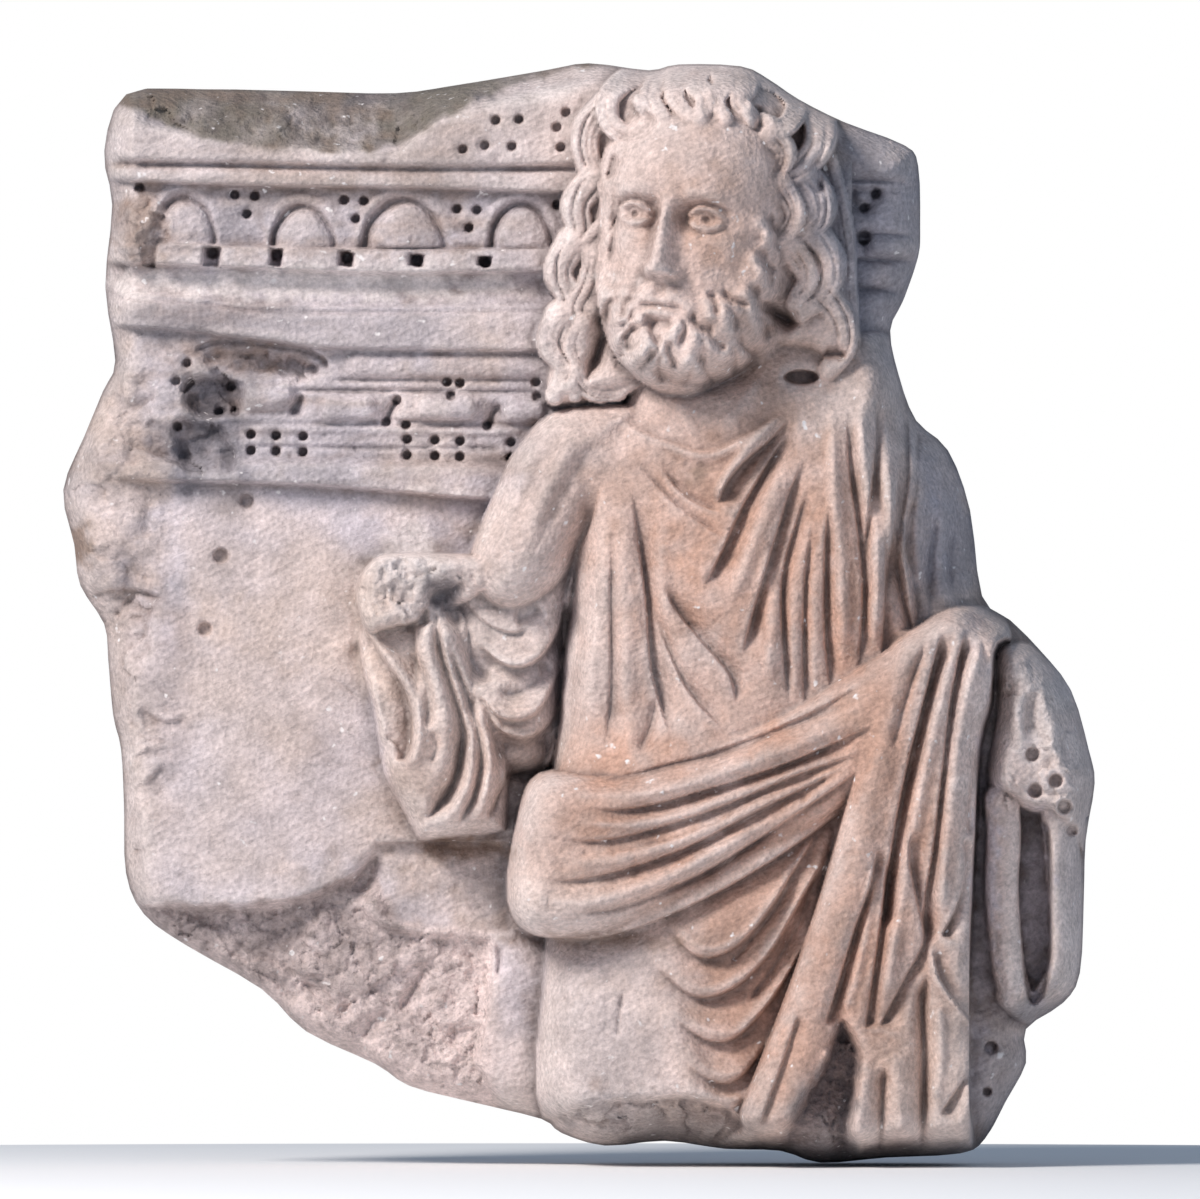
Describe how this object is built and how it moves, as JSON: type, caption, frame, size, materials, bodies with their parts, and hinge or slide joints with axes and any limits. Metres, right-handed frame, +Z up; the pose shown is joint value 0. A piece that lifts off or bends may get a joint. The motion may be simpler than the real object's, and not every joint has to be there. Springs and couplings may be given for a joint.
{
  "type": "sarcophagus relief fragment",
  "caption": "Broken panel of a carved marble sarcophagus front: a bearded man in tunic and cloak in high relief beside an egg-and-dart entablature, with a flat back.",
  "frame": {"origin": "on the flat back, level with the figure's waist, near the middle of the fragment's width and height", "axes": "+X to the viewer's right, +Y into the wall behind the panel, +Z up the standing figure; the carving faces -Y"},
  "size_m": [0.5167, 0.1794, 0.5509],
  "materials": {
    "marble": "weathered"
  },
  "bodies": {
    "root": {"relief_fragment": "marble"}
  },
  "joints": []
}
